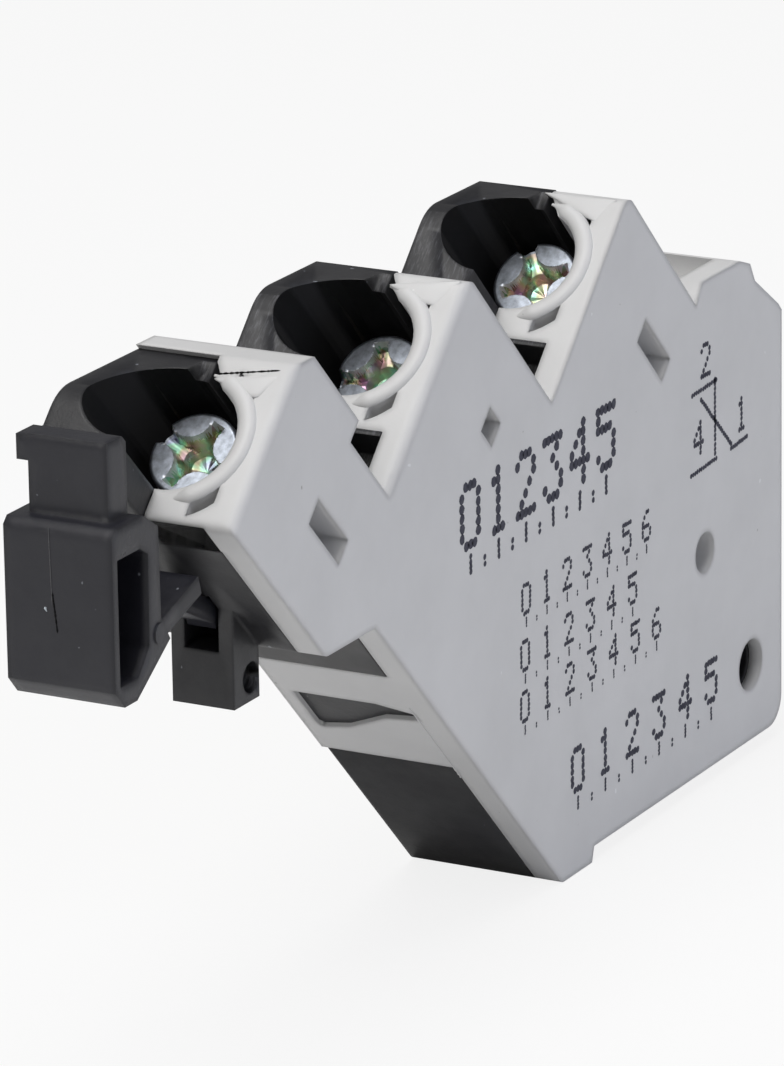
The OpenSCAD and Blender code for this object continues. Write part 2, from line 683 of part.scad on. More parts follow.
// Hole for a rivet's shank through a strip that faces along s
module rivet_hole() {
  p = sc(0, rivet_c);
  translate([p[0], rivet_y, p[1]]) rotate([0, 45, 0]) translate([0, 0, -2 * step])
    cylinder(r = rivet_r / 2, h = 4 * step);
}

module break_terminal() {
  color([0.76, 0.62, 0.32]) place() {
    tab(1);
    difference() {
      slab(strip_y, strip_y + strip_w) band([
        tab_leg(1), sz(well_s(1) + drop_x, shelf_h + wall + 0.4), sz(break_s + strip_t / 2, shelf_h + wall + 0.4),
        sc(break_s + strip_t / 2, rivet_c - 2)
      ], strip_t);
      rivet_hole();
    }
  }
}

module make_terminal() {
  color([0.76, 0.62, 0.32]) place() {
    tab(2);
    difference() {
      slab(strip_y, strip_y + strip_w) band([
        tab_leg(2), sc(well_s(2) + drop_x, well_floor(2) - 0.6), sc(make_s + strip_t / 2, well_floor(2) - 0.6),
        sc(make_s + strip_t / 2, rivet_c - 1.5)
      ], strip_t);
      rivet_hole();
    }
  }
}

module common_terminal() {
  leg = sc(well_s(3) + drop_x, well_floor(3) - 0.7);
  eye = sc(arm_s, arm_c);
  color([0.76, 0.62, 0.32]) place() {
    tab(3);
    slab(strip_y, strip_y + strip_w)
      band([tab_leg(3), leg, [leg[0], wall + 0.8], [eye[0] + 2.6, wall + 0.8]], strip_t);
    difference() {
      slab(strip_y, strip_y + eye_w) {
        band([[eye[0] + 2.5, wall + 0.75], eye], strip_t);
        translate(eye) circle(eye_r);
      }
      translate([eye[0], 0, eye[1]]) rotate([-90, 0, 0]) cylinder(r = arm_pin_r, h = body_t);
    }
  }
}

// Rivet whose shank runs from s0 to s1 and whose head runs on to s2
module fixed_rivet(s0, s1, s2) {
  p = sc(0, rivet_c);
  translate([p[0], rivet_y, p[1]]) rotate([0, 45, 0]) {
    translate([0, 0, min(s0, s1)]) cylinder(r = rivet_r / 2, h = abs(s1 - s0));
    translate([0, 0, min(s1, s2)]) cylinder(r = rivet_r, h = abs(s2 - s1));
  }
}

module break_contact() {
  color([0.83, 0.83, 0.82]) place()
    fixed_rivet(break_s, break_s + strip_t, arm_s - arm_t / 2 - rivet_h - touch);
}

module make_contact() {
  color([0.83, 0.83, 0.82]) place()
    fixed_rivet(make_s + strip_t, make_s, make_s - rivet_h);
}

module moving_contact() {
  color([0.83, 0.83, 0.82]) place() {
    fixed_rivet(arm_s + arm_t / 2, arm_s - arm_t / 2, arm_s - arm_t / 2 - rivet_h);
    fixed_rivet(arm_s, arm_s + arm_t / 2, arm_s + arm_t / 2 + rivet_h);
  }
}

// Moving arm with its eye, turning on the arm pin
module contact_arm() {
  eye = sc(arm_s, arm_c);
  color([0.80, 0.60, 0.40]) place() difference() {
    slab(arm_y, arm_y + arm_w) difference() {
      union() {
        band([eye, sc(arm_s, rivet_c + arm_over)], arm_t);
        translate(eye) circle(eye_r);
      }
      translate(eye) circle(arm_pin_r + run_gap);
    }
    rivet_hole();
  }
}

module terminal_screw_1() { terminal_screw(1); }
module terminal_screw_2() { terminal_screw(2); }
module terminal_screw_3() { terminal_screw(3); }
module clamp_plate_1() { clamp_plate(1); }
module clamp_plate_2() { clamp_plate(2); }
module clamp_plate_3() { clamp_plate(3); }
module terminal_nut_1() { terminal_nut(1); }
module terminal_nut_2() { terminal_nut(2); }
module terminal_nut_3() { terminal_nut(3); }

front_cover();
rear_shell();
actuator_lever();
lever_pin();
lever_spring();
terminal_screw_1();
terminal_screw_2();
terminal_screw_3();
clamp_plate_1();
clamp_plate_2();
clamp_plate_3();
terminal_nut_1();
terminal_nut_2();
terminal_nut_3();
break_terminal();
make_terminal();
common_terminal();
break_contact();
make_contact();
moving_contact();
contact_arm();
arm_pin();
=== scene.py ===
"""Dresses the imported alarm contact: rounded mouldings, zinc screws, printed marks and studio.

Sizes in the tables are millimetres from the module's lower right corner on its printed face:
x along the module, y through it, z up. Two slanted directions are used as in the solids:
s runs up to the right and c runs up to the left.
"""

import math

import bmesh
import bpy
import numpy as np
from bpy.props import FloatProperty, FloatVectorProperty, IntProperty, PointerProperty
from mathutils import Matrix, Vector


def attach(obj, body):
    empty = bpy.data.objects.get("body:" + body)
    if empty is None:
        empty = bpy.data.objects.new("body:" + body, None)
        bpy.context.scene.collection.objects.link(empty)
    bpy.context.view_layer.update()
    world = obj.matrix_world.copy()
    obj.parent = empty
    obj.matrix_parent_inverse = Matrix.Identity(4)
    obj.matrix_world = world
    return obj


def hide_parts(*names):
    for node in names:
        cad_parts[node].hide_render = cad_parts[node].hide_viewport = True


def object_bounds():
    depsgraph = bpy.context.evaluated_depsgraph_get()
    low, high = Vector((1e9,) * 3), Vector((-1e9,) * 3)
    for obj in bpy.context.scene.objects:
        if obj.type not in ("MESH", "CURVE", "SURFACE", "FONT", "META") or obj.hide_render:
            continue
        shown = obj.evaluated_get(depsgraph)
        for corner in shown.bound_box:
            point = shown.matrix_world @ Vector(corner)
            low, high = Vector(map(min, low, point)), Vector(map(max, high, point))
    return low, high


bl_info = {
    "name": "Alarm contact",
    "version": (1, 0, 0),
    "blender": (4, 5, 0),
    "location": "View3D > Sidebar > Alarm contact",
    "description": "Builds the looks of a thin snap-in alarm contact round its packed solids",
    "category": "Object",
}

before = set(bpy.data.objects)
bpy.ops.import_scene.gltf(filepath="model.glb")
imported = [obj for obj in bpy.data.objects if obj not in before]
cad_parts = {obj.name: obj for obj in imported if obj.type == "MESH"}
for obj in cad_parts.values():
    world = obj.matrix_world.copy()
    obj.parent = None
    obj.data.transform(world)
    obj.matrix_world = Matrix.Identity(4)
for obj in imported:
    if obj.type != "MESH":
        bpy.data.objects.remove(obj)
CAD_BOX = [[float(v) for v in corner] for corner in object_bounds()]

MM = 0.001
ROOT2 = math.sqrt(2.0)
ALONG_S = np.array([1.0, 0.0, 1.0]) / ROOT2
ALONG_C = np.array([-1.0, 0.0, 1.0]) / ROOT2

# The solids' own sizes, in millimetres.
BORE = np.array([-4.45, 0.0, 4.9])  # the locating bore, where the frame starts
WELLS = (1, 2, 3)
STEP = 20.1 / ROOT2  # from one well to the next, along s and against c
WELL_Y = 5.3
WELL_R = 3.4
TOP_H = 38.5
EDGE_S = {i: (TOP_H - 20.7) / ROOT2 - (3 - i) * STEP for i in WELLS}  # upper side of a well's block
MOUTH_C = {i: (TOP_H + 21.4) / ROOT2 + (3 - i) * STEP for i in WELLS}  # height of a mouth
WELL_S = {i: EDGE_S[i] - 5.1 for i in WELLS}  # a well's axis
HEAD_DROP = {1: 2.1, 2: 3.5, 3: 2.5}  # from a mouth down to its screw's head
LIP_S = WELL_S[1] - 5.3  # lower side of the first well's lip
LOW_S = LIP_S + 4.07  # slanted face of the snap frame
SHELF_C = (TOP_H - 17.0) * ROOT2 - LOW_S  # lower end of the shelf above the snap frame
LEVER_X = (LIP_S - MOUTH_C[1]) / ROOT2 - 10.0  # front of the lever


def put(points):
    """Points from the lower right corner, in millimetres, to the frame, in metres."""
    return (np.asarray(points, float) - BORE) * MM


def slant(s, c, y):
    """The point that lies s up to the right and c up to the left, at depth y."""
    s, c, y = np.broadcast_arrays(np.asarray(s, float), np.asarray(c, float), np.asarray(y, float))
    return np.stack([(s - c) / ROOT2, y, (s + c) / ROOT2], axis=-1)


class AlarmSizes(bpy.types.PropertyGroup):
    """Sizes of the finish that the solids leave out."""

    cover_soft: FloatProperty(
        name="Cover softness", description="Reach of the soft shading at the grey moulding's edges",
        default=0.65 * MM, min=0.0, unit="LENGTH")
    shell_soft: FloatProperty(
        name="Shell softness",
        description="Reach of the soft shading at the black moulding's edges",
        default=0.3 * MM, min=0.0, unit="LENGTH")
    lever_soft: FloatProperty(
        name="Lever softness", description="Reach of the soft shading at the lever's edges",
        default=0.8 * MM, min=0.0, unit="LENGTH")
    ink_dot: FloatProperty(
        name="Ink dot", description="Width of one printed dot",
        default=0.34 * MM, min=0.05 * MM, unit="LENGTH")
    slot_depth: FloatProperty(
        name="Slot depth", description="Depth of the slot in a screw head",
        default=0.9 * MM, min=0.0, unit="LENGTH")
    cross_depth: FloatProperty(
        name="Cross depth", description="Depth of the cross recess in a screw head",
        default=1.35 * MM, min=0.0, unit="LENGTH")
    rib_steps: IntProperty(
        name="Rib steps", description="Faces across a rounded rib", default=12, min=6, max=24)


class AlarmColours(bpy.types.PropertyGroup):
    """Base colours of the finishes."""

    cover: FloatVectorProperty(
        name="Cover", description="Warm light grey moulding", subtype="COLOR",
        default=(0.60, 0.60, 0.605), min=0.0, max=1.0)
    shell: FloatVectorProperty(
        name="Shell", description="Black moulding", subtype="COLOR",
        default=(0.012, 0.012, 0.0145), min=0.0, max=1.0)
    lever: FloatVectorProperty(
        name="Lever", description="Black lever", subtype="COLOR",
        default=(0.012, 0.0122, 0.018), min=0.0, max=1.0)
    ink: FloatVectorProperty(
        name="Ink", description="Dark printing ink", subtype="COLOR",
        default=(0.012, 0.013, 0.035), min=0.0, max=1.0)
    zinc: FloatVectorProperty(
        name="Zinc", description="Zinc-plated steel", subtype="COLOR",
        default=(0.54, 0.585, 0.665), min=0.0, max=1.0)


class Finish:
    """A node-based material under construction, with Object coordinates at hand.

    Where a method takes a socket or a plain value, a socket is linked and a value is set.
    """

    def __init__(self, name):
        self.material = bpy.data.materials.new(name)
        self.material.use_nodes = True
        self.tree = self.material.node_tree
        self.shader = self.tree.nodes["Principled BSDF"]
        self.place = self.tree.nodes.new("ShaderNodeTexCoord").outputs["Object"]

    def feed(self, socket, value):
        """Links a socket, or sets a number, a vector or a colour without its alpha."""
        if isinstance(value, bpy.types.NodeSocket):
            self.tree.links.new(value, socket)
        elif socket.type == "RGBA":
            socket.default_value = (*value, 1.0)
        else:
            socket.default_value = value

    def node(self, kind, **inputs):
        """A new node with its named inputs fed."""
        made = self.tree.nodes.new(kind)
        for key, value in inputs.items():
            self.feed(made.inputs[key.replace("_", " ")], value)
        return made

    def noise(self, scale, detail=3.0, roughness=0.5, stretch=None):
        """Noise over the object's own place, stretched along its axes if asked."""
        place = self.place
        if stretch:
            place = self.node("ShaderNodeMapping", Vector=place, Scale=stretch).outputs[0]
        return self.node("ShaderNodeTexNoise", Vector=place, Scale=scale, Detail=detail,
                         Roughness=roughness).outputs["Fac"]

    def ramp(self, factor, stops):
        """Colours at stops of a factor, blended in between."""
        made = self.node("ShaderNodeValToRGB", Fac=factor)
        marks = made.color_ramp.elements
        while len(marks) < len(stops):
            marks.new(0.5)
        for mark, (where, colour) in zip(marks, stops):
            mark.position = where
            mark.color = (*colour, 1.0)
        return made.outputs["Color"]

    def grey(self, factor, low, high, from_low=0.0, from_high=1.0):
        """A number that goes from low to high while the factor crosses its own span."""
        return self.node("ShaderNodeMapRange", Value=factor, From_Min=from_low, From_Max=from_high,
                         To_Min=low, To_Max=high).outputs["Result"]

    def mix(self, factor, first, second):
        """The first colour, and the second in the factor's share."""
        made = self.tree.nodes.new("ShaderNodeMix")
        made.data_type = "RGBA"
        for k, value in ((0, factor), (6, first), (7, second)):
            self.feed(made.inputs[k], value)
        return made.outputs[2]

    def math(self, kind, first, second):
        """One sum on two numbers."""
        made = self.tree.nodes.new("ShaderNodeMath")
        made.operation = kind
        self.feed(made.inputs[0], first)
        self.feed(made.inputs[1], second)
        return made.outputs[0]

    def set(self, name, value):
        """Feeds one of the shader's own sockets."""
        self.feed(self.shader.inputs[name], value)

    def bump(self, height, strength, distance, soft=0.0):
        """Relief from a height, over edges shaded as if rounded by the soft radius."""
        made = self.node("ShaderNodeBump", Height=height, Strength=strength, Distance=distance)
        if soft:
            edge = self.node("ShaderNodeBevel", Radius=soft)
            edge.samples = 4
            self.feed(made.inputs["Normal"], edge.outputs[0])
        self.set("Normal", made.outputs["Normal"])


def cover_finish(name, colour, soft=0.0):
    """Light grey moulding: faint cloudiness, fine grain, a few dark specks and pale glints painted
    into its colour as highlights.
    """
    f = Finish(name)
    cloud = f.noise(140.0, 4.0, 0.6)
    light = tuple(min(1.0, v * 1.035) for v in colour)
    dark = tuple(v * 0.955 for v in colour)
    base = f.ramp(cloud, [(0.3, dark), (0.7, light)])
    specks = f.grey(f.noise(1500.0, 1.0), 0.0, 0.6, 0.80, 0.84)
    # Painted highlights: pale glints mixed into the base colour.
    painted_glints = f.grey(f.noise(1100.0, 1.0), 0.0, 0.5, 0.79, 0.815)
    speckled = f.mix(specks, base, (0.16, 0.15, 0.13))
    f.set("Base Color", f.mix(painted_glints, speckled, (0.85, 0.86, 0.88)))
    f.set("Roughness", f.grey(f.noise(500.0, 3.0), 0.38, 0.52))
    f.bump(f.noise(5200.0, 3.0, 0.65), 0.22, 0.00003, soft)
    return f.material


def black_finish(name, colour, dust, grain, soft=0.0, gloss=0.36):
    """Black moulding: dusty bloom in patches, a fine grain, few pale specks and uneven gloss."""
    f = Finish(name)
    bloom = f.grey(f.noise(260.0, 5.0, 0.65), 0.0, 1.0, 0.35, 0.8)
    pale = tuple(v + dust for v in colour)
    specks = f.grey(f.noise(1700.0, 1.0), 0.0, 0.55, 0.775, 0.80)
    f.set("Base Color", f.mix(specks, f.mix(bloom, colour, pale), (0.30, 0.32, 0.36)))
    f.set("Roughness", f.grey(f.noise(420.0, 4.0), gloss - 0.06, gloss + 0.16))
    height = f.math("ADD", f.noise(grain, 4.0, 0.6), f.math("MULTIPLY", f.noise(330.0, 2.0), 3.0))
    f.bump(height, 0.3, 0.00004, soft)
    return f.material


def worn_finish(name, colour):
    """Black moulding rubbed grey: scratches that run along the wall over a cloudy bloom."""
    f = Finish(name)
    cloud = f.grey(f.noise(900.0, 4.0, 0.7), 0.0, 0.5, 0.4, 0.75)
    streaks = f.noise(5200.0, 4.0, 0.7, stretch=(0.16, 1.0, 0.16))
    scratch = f.grey(streaks, 0.0, 0.5, 0.5, 0.72)
    rubbed = f.mix(cloud, tuple(v + 0.004 for v in colour), tuple(v + 0.035 for v in colour))
    f.set("Base Color", f.mix(scratch, rubbed, (0.17, 0.17, 0.19)))
    f.set("Roughness", 0.5)
    f.bump(f.noise(2600.0, 3.0), 0.35, 0.00004, 0.00025)
    return f.material


def painted_shade_finish(name):
    """Painted shade: a near-black colour, darker than the black moulding's own, for places deep in
    a well or a narrow gap where hardly any light returns.
    """
    f = Finish(name)
    f.set("Base Color", (0.004, 0.004, 0.0045))
    f.set("Roughness", 0.62)
    f.set("Specular IOR Level", 0.16)
    return f.material


def metal_finish(name, colour, rough, scale, low=0.75):
    """Plated or bare metal: cloudy tone and fine streaks that change its gloss."""
    f = Finish(name)
    f.set("Metallic", 1.0)
    dark = tuple(v * low for v in colour)
    f.set("Base Color", f.ramp(f.noise(scale, 4.0, 0.6), [(0.3, dark), (0.7, colour)]))
    f.set("Roughness", f.grey(f.noise(scale * 3.0, 3.0), rough - 0.06, rough + 0.12))
    f.bump(f.noise(scale * 5.0, 2.0), 0.12, 0.00002)
    return f.material


def ink_finish(colour):
    """Matt printing ink, a little uneven."""
    f = Finish("printing_ink")
    worn = tuple(v + 0.03 for v in colour)
    f.set("Base Color", f.ramp(f.noise(2500.0, 2.0), [(0.35, colour), (0.75, worn)]))
    f.set("Roughness", 0.6)
    return f.material


def passivated_finish():
    """Recess walls of a passivated screw: pink, green and gold films that change with the place."""
    f = Finish("passivated_recess")
    f.set("Metallic", 1.0)
    film = f.noise(700.0, 2.0, 0.5)
    f.set("Base Color", f.ramp(film, [
        (0.30, (0.60, 0.38, 0.56)), (0.41, (0.58, 0.42, 0.42)), (0.49, (0.50, 0.50, 0.32)),
        (0.57, (0.38, 0.70, 0.52)), (0.68, (0.46, 0.50, 0.66))]))
    f.set("Roughness", f.grey(f.noise(1200.0, 2.0), 0.22, 0.5, 0.35, 0.65))
    return f.material


def add_piece(name, points, faces, material, smooth=True):
    """A new mesh piece from an array of points in metres and lists of corners."""
    mesh = bpy.data.meshes.new(name)
    corners = [list(map(int, face)) for face in faces]
    mesh.from_pydata(np.asarray(points, float).reshape(-1, 3).tolist(), [], corners)
    mesh.validate()
    mesh.update()
    if smooth:
        mesh.shade_smooth()
    mesh.materials.append(material)
    piece = bpy.data.objects.new(name, mesh)
    bpy.context.scene.collection.objects.link(piece)
    return piece


def shut_out(piece):
    """Turns the faces of a closed piece outwards."""
    form = bmesh.new()
    form.from_mesh(piece.data)
    bmesh.ops.recalc_face_normals(form, faces=form.faces)
    form.to_mesh(piece.data)
    form.free()


def grid_faces(rows, columns):
    """Corner lists of a grid of points whose rows close on themselves."""
    r, k = np.meshgrid(np.arange(rows - 1), np.arange(columns), indexing="ij")
    here, after = r * columns + k, r * columns + (k + 1) % columns
    return np.stack([here, after, after + columns, here + columns], axis=-1).reshape(-1, 4)


def tube_faces(rows, columns):
    """Corner lists of a tube of rings with both its ends closed."""
    ends = [list(range(columns)), list(range(columns * (rows - 1), columns * rows))]
    return grid_faces(rows, columns).tolist() + ends


def clean_copy(node, name, material, angle=24.0):
    """A copy of a solid's mesh, merged into flat faces, smooth across its curved walls."""
    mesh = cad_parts[node].data.copy()
    mesh.name = name
    form = bmesh.new()
    form.from_mesh(mesh)
    bmesh.ops.remove_doubles(form, verts=form.verts, dist=0.002 * MM)
    bmesh.ops.dissolve_degenerate(form, edges=form.edges, dist=0.002 * MM)
    bmesh.ops.dissolve_limit(form, angle_limit=math.radians(0.6), verts=form.verts,
                             edges=form.edges)
    form.to_mesh(mesh)
    form.free()
    mesh.materials.clear()
    mesh.materials.append(material)
    mesh.shade_smooth()
    mesh.set_sharp_from_angle(angle=math.radians(angle))
    piece = bpy.data.objects.new(name, mesh)
    bpy.context.scene.collection.objects.link(piece)
    return piece


def slanted(points):
    """The s, c and y of points of the frame, in millimetres."""
    corner = np.asarray(points, float) / MM + BORE
    return np.stack([corner @ ALONG_S, corner @ ALONG_C, corner[:, 1]], axis=-1)


def paint(piece, rule, material):
    """Gives a second material to the faces whose middle and normal obey a rule."""
    mesh = piece.data
    middle, normal = (np.zeros(len(mesh.polygons) * 3) for _ in range(2))
    mesh.polygons.foreach_get("center", middle)
    mesh.polygons.foreach_get("normal", normal)
    chosen = rule(slanted(middle.reshape(-1, 3)), normal.reshape(-1, 3))
    index = np.zeros(len(mesh.polygons), np.int32)
    mesh.polygons.foreach_get("material_index", index)
    index[chosen] = len(mesh.materials)
    mesh.materials.append(material)
    mesh.polygons.foreach_set("material_index", index)


def inside_well(place, normal, reach=0.3, deep=9.0):
    """True for faces near a well's wall that look towards its axis, down to a depth: where the
    wells' painted shade goes.
    """
    hit = np.zeros(len(place), bool)
    for i in WELLS:
        s, y = place[:, 0] - WELL_S[i], place[:, 2] - WELL_Y
        inwards = s * (normal @ ALONG_S) + y * normal[:, 1] < -0.7 * WELL_R
        near = (np.hypot(s, y) < WELL_R + reach) & (place[:, 1] > MOUTH_C[i] - deep)
        hit |= inwards & near
    return hit


def on_mouth(place, normal, reach=5.0):
    """True for faces that look along the wells at about the height of a mouth."""
    away = np.min([np.abs(place[:, 1] - MOUTH_C[i]) for i in WELLS], axis=0)
    return (normal @ ALONG_C > 0.9) & (away < reach)


def recess_wall(place, normal):
    """True for the faces at the upper right that look back along the module, which get the recess
    wall's painted shade.
    """
    high = place[:, 0] + place[:, 1] > (TOP_H - 9.0) * ROOT2
    right = place[:, 0] - place[:, 1] > -10.0 * ROOT2
    return (normal[:, 0] < -0.9) & high & right


class ALARM_OT_cover(bpy.types.Operator):
    """Copies the grey cover and gives it its moulded finish, with painted shade on the recess wall
    """

    bl_idname = "alarm.cover"
    bl_label = "Cover"

    def execute(self, context):
        sizes, colours = context.scene.alarm_sizes, context.scene.alarm_colours
        grey = cover_finish("cover_grey_plastic", tuple(colours.cover), sizes.cover_soft)
        # Painted shade: the recess wall gets the cover's grey at 0.72 of its brightness, for the
        # shade it lies in.
        shade = cover_finish("recess_grey_plastic", tuple(0.72 * v for v in colours.cover))
        piece = clean_copy("front_cover", "cover_moulding", grey)
        paint(piece, recess_wall, shade)
        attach(piece, "housing")
        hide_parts("front_cover")
        return {"FINISHED"}


class ALARM_OT_shell(bpy.types.Operator):
    """Copies the black shell and gives it its moulded finish, worn rims and dark wells"""

    bl_idname = "alarm.shell"
    bl_label = "Shell"

    # Copies the black shell and gives it its moulded finish, worn rims and painted shade in the
    # wells
    def execute(self, context):
        sizes, colours = context.scene.alarm_sizes, context.scene.alarm_colours
        black = black_finish("shell_black_plastic", tuple(colours.shell), 0.02, 3800.0,
                             sizes.shell_soft)
        piece = clean_copy("rear_shell", "shell_moulding", black)
        paint(piece, on_mouth, worn_finish("worn_rim", tuple(colours.shell)))
        # Painted shade: the faces inside the wells get a near-black colour for the shade deep in
        # them.
        paint(piece, inside_well, painted_shade_finish("well_black"))
        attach(piece, "housing")
        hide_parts("rear_shell")
        return {"FINISHED"}


class ALARM_OT_lever(bpy.types.Operator):
    """Copies the lever and gives it its soft black finish"""

    bl_idname = "alarm.lever"
    bl_label = "Lever"

    def execute(self, context):
        sizes, colours = context.scene.alarm_sizes, context.scene.alarm_colours
        black = black_finish("lever_black_plastic", tuple(colours.lever), 0.008, 2600.0,
                             sizes.lever_soft, gloss=0.28)
        piece = clean_copy("actuator_lever", "lever_moulding", black)
        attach(piece, "lever")
        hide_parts("actuator_lever")
        return {"FINISHED"}


def rib_points(i, steps, half_width=0.55, rise=0.3, sunk=0.1, reach=(-78.0, 80.0), count=49):
    """Rings of the rounded rib round the front half of a well's mouth.

    The rib's spine is an arc about the well's axis, and its section is half an ellipse whose
    flat base is sunk into the mouth. Its width and height shrink towards both ends.
    """
    along = np.radians(np.linspace(*reach, count))[:, None]
    from_end = np.minimum(np.arange(count), np.arange(count)[::-1])[:, None]
    grow = np.clip(from_end / 5.0, 0.15, 1.0)
    across = np.linspace(0, np.pi, steps)
    radius = WELL_R + half_width + half_width * grow * np.cos(across)
    c = MOUTH_C[i] - sunk + (rise + sunk) * grow * np.sin(across)
    return slant(WELL_S[i] + radius * np.sin(along), c, WELL_Y - radius * np.cos(along))


def ragged_tube(line, width, seed, steps=6):
    """Rings of a thin ragged thread along a line of points.

    Each ring is a circle across the line, and its radius is half the width times a share drawn
    at random. The first and last rings are a fifth of that.
    """
    line = np.asarray(line, float)
    reach = np.concatenate([[0], np.cumsum(np.linalg.norm(np.diff(line, axis=0), axis=1))])
    count = max(6, int(reach[-1] / (0.6 * width)))
    where = np.linspace(0, reach[-1], count)
    spine = np.stack([np.interp(where, reach, line[:, k]) for k in range(3)], axis=-1)
    draw = np.random.default_rng(seed)
    radius = width / 2 * draw.uniform(0.35, 1.0, count)
    radius[[0, -1]] *= 0.2
    ahead = np.gradient(spine, axis=0)
    ahead /= np.linalg.norm(ahead, axis=1)[:, None]
    side = np.cross(ahead, [0.3, 0.5, 0.8])
    side /= np.linalg.norm(side, axis=1)[:, None]
    up = np.cross(side, ahead)
    angle = np.linspace(0, 2 * np.pi, steps, endpoint=False)
    ring = side[:, None] * np.cos(angle)[:, None] + up[:, None] * np.sin(angle)[:, None]
    return spine[:, None] + radius[:, None, None] * ring


FINGERS = {  # tip, notch and base of each finger: s from the well's axis, and y
    1: ((3.62, 4.54), (2.85, 2.36), (4.45, 0.55)),
    2: ((3.91, 4.68), (3.11, 2.73), (4.79, 0.35)),
    3: ((4.54, 5.35), (3.52, 2.95), (4.70, 0.60)),
}


def finger_points(i, rise=0.2, sunk=0.12, rings=21, columns=14):
    """Rings of the pointed finger that reaches over the shell's ring at a mouth.

    One edge is a quadratic curve from the tip past the notch to the rib, the other is straight
    from the tip to the base. Each ring joins them with a flat arch above and a shallower one
    below. The arches grow from the tip and fade into the mouth at the base.
    """
    tip, notch, base = (np.array(point) for point in FINGERS[i])
    rib = np.array([3.0, 1.4])
    bend = 2 * notch - (tip + rib) / 2
    t = np.linspace(0.02, 1.0, rings)[:, None]
    inner = (1 - t) ** 2 * tip + 2 * t * (1 - t) * bend + t ** 2 * rib
    outer = tip + t * (base - tip)
    angle = np.linspace(0, 2 * np.pi, columns, endpoint=False)
    u = 0.5 + 0.5 * np.cos(angle)[:, None]
    flat = inner[:, None] * (1 - u) + outer[:, None] * u
    bulge = np.sqrt(np.abs(np.sin(angle)))
    height = np.where(np.sin(angle) > 0, rise * bulge, -sunk * bulge)
    c = MOUTH_C[i] + 0.02 + np.minimum(1.0, 0.3 + 4 * t) * (1 - t ** 3) * height - 0.06 * t ** 6
    return slant(WELL_S[i] + flat[:, :, 0], c, flat[:, :, 1])


FLASH = (  # line and width of each thread of flash on the cover
    (slant([LOW_S - 0.02] * 3, [SHELF_C - 10.0, SHELF_C - 15.5, SHELF_C - 18.6],
           [1.75, 1.72, 1.7]), 0.13),
    (slant([EDGE_S[1] + 1.0] * 2, [MOUTH_C[1] - 9.5, MOUTH_C[1] - 6.0], [0.9, 1.2]), 0.22),
)
GAP = slant([WELL_S[1] + 3.95, WELL_S[1] + 4.66], [MOUTH_C[1]] * 2, [4.4, 0.8])
GAP_WIDTH = 0.16
WINDOW = np.array([  # outline of the snap frame's window: y, and height from its sill
    (1.6, 2.8), (4.1, 2.45), (7.2, 0.45), (9.1, -0.05), (9.45, 0.25), (9.45, 4.35), (4.0, 4.35),
    (1.6, 3.65)])
WINDOW_S = LOW_S + 0.28
SILL_C = SHELF_C - 14.5


class ALARM_OT_cover_details(bpy.types.Operator):
    """Adds the mouths' ribs and fingers, the flash, the strap's gap as a thread of painted shadow
    and the snap window
    """

    bl_idname = "alarm.cover_details"
    bl_label = "Cover details"

    def execute(self, context):
        sizes, colours = context.scene.alarm_sizes, context.scene.alarm_colours
        grey = cover_finish("rib_grey_plastic", tuple(colours.cover))
        for i in WELLS:
            rings = rib_points(i, sizes.rib_steps)
            piece = add_piece("mouth_rib_%d" % i, put(rings), tube_faces(*rings.shape[:2]), grey)
            shut_out(piece)
            piece.data.set_sharp_from_angle(angle=math.radians(60))
            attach(piece, "housing")
            rings = finger_points(i)
            piece = add_piece("mouth_finger_%d" % i, put(rings), tube_faces(*rings.shape[:2]), grey)
            shut_out(piece)
            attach(piece, "housing")
        points = slant(WINDOW_S, SILL_C + WINDOW[:, 1], WINDOW[:, 0])
        face = range(len(WINDOW))[::-1]
        black = black_finish("snap_black_plastic", tuple(colours.shell), 0.02, 3800.0)
        piece = add_piece("snap_window", put(points), [face], black, smooth=False)
        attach(piece, "housing")
        for k, (line, width) in enumerate(FLASH):
            rings = ragged_tube(line, width, 11 + k)
            piece = add_piece("flash_%d" % (k + 1), put(rings), tube_faces(*rings.shape[:2]), grey)
            shut_out(piece)
            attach(piece, "housing")
        # The strap's gap is a near-black thread: the black shell seen through the gap, darkened
        # further as painted shadow.
        rings = ragged_tube(GAP, GAP_WIDTH, 21)
        dark = painted_shade_finish("strap_shadow")
        piece = add_piece("strap_gap", put(rings), tube_faces(*rings.shape[:2]), dark)
        shut_out(piece)
        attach(piece, "housing")
        return {"FINISHED"}


class ALARM_OT_lever_details(bpy.types.Operator):
    """Adds the parting line with a painted sheen, the slit as a thread of painted shade and the
    bright speck on the lever's front
    """

    bl_idname = "alarm.lever_details"
    bl_label = "Lever details"

    def execute(self, context):
        colours = context.scene.alarm_colours
        # Painted sheen: the parting line's thread is lighter than the lever, for light caught on
        # its ridge.
        sheen_colour = tuple(v + 0.05 for v in colours.lever)
        sheen = black_finish("lever_sheen", sheen_colour, 0.02, 2600.0)
        # Painted shade: the slit is a near-black thread for the shade inside the slit.
        pit = painted_shade_finish("lever_slit")
        spot = cover_finish("lever_speck", (0.45, 0.5, 0.55))
        x = LEVER_X - 0.01
        marks = (
            ("lever_parting", sheen, 0.09, 3, [[x, 5.32, 33.9], [x, 5.26, 31.0], [x, 5.22, 29.6]]),
            ("lever_slit", pit, 0.12, 4, [[x, 5.2, 30.3], [x, 5.05, 29.0], [x, 4.95, 28.1]]),
            ("lever_speck", spot, 0.2, 5, [[x, 5.7, 29.45], [x, 5.56, 29.2]]),
        )
        for name, finish, width, seed, line in marks:
            rings = ragged_tube(line, width, seed)
            piece = add_piece(name, put(rings), tube_faces(*rings.shape[:2]), finish)
            shut_out(piece)
            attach(piece, "lever")
        return {"FINISHED"}


